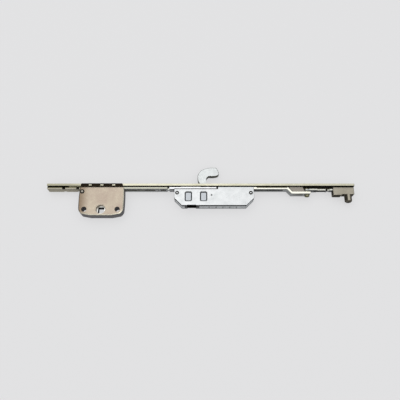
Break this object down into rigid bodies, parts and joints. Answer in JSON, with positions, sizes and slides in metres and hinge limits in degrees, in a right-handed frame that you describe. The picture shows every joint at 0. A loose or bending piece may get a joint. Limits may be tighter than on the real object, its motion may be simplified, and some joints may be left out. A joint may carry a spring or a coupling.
{
  "type": "window espagnolette",
  "caption": "Multipoint espagnolette section: flat forend, spindle gearbox, sliding drive rod and a case with a swinging locking hook.",
  "frame": {"origin": "on the spindle axis, halfway through the thickness of the gearbox and midway between the handle-screw holes", "axes": "+X along the forend from the gearbox to the hook case, +Y from the gearbox towards the forend's face and the hook, +Z along the spindle, out of the covers"},
  "size_m": [0.403, 0.0671, 0.0182],
  "materials": {
    "forend_zinc": "yellow passivated zinc plate on steel strip",
    "black_plastic": "moulded black plastic",
    "olive_zinc": "olive passivated zinc",
    "gearbox_casting": "grey-green die casting",
    "gearbox_plate": "warm passivated zinc plate",
    "screw_zinc": "bright zinc plate",
    "rod_zinc": "grey zinc plate",
    "follower_zinc": "cast zinc",
    "bright_zinc": "bright zinc plate",
    "block_zinc": "warm grey cast zinc",
    "case_zinc": "white-silver zinc plate",
    "hook_zinc": "white-silver zinc plate",
    "pin_steel": "plain steel, greased"
  },
  "bodies": {
    "lock_frame": {"forend": "forend_zinc", "forend_clip": "black_plastic", "forend_packer": "olive_zinc", "gearbox_housing": "gearbox_casting", "gearbox_cover": "gearbox_plate", "gearbox_rivet": "gearbox_plate", "gearbox_screws": "screw_zinc", "hook_case_housing": "case_zinc", "hook_case_cover": "case_zinc", "hook_case_rivets": "case_zinc", "hook_case_screws": "screw_zinc", "hook_pivot_pin": "pin_steel", "end_block": "block_zinc", "end_block_screw": "screw_zinc"},
    "drive": {"drive_rod_left": "rod_zinc", "gearbox_rack": "rod_zinc", "guide_button": "screw_zinc", "hook_slide": "bright_zinc", "drive_rod_right": "rod_zinc", "spacer_block": "block_zinc", "spacer_block_rivet": "screw_zinc", "rod_end_stud": "olive_zinc", "end_slide": "rod_zinc"},
    "follower": {"follower": "follower_zinc"},
    "hook": {"hook": "hook_zinc"}
  },
  "joints": [
    {"name": "drive_travel", "type": "slide", "parent": "lock_frame", "child": "drive", "axis": [-1, 0, 0], "range_m": [0, 0.015]},
    {"name": "follower_turn", "type": "hinge", "parent": "lock_frame", "child": "follower", "pos_m": [0, 0, 0], "axis": [0, 0, 1], "range_deg": [0, 90]},
    {"name": "hook_swing", "type": "hinge", "parent": "lock_frame", "child": "hook", "pos_m": [0.1435, 0.01952, 0], "axis": [0, 0, 1], "range_deg": [0, 84]}
  ],
  "couplings": [
    {"joint": "follower_turn", "follows": "drive_travel", "rad_per_m": 104.72},
    {"joint": "hook_swing", "follows": "drive_travel", "rad_per_m": 97.738}
  ]
}
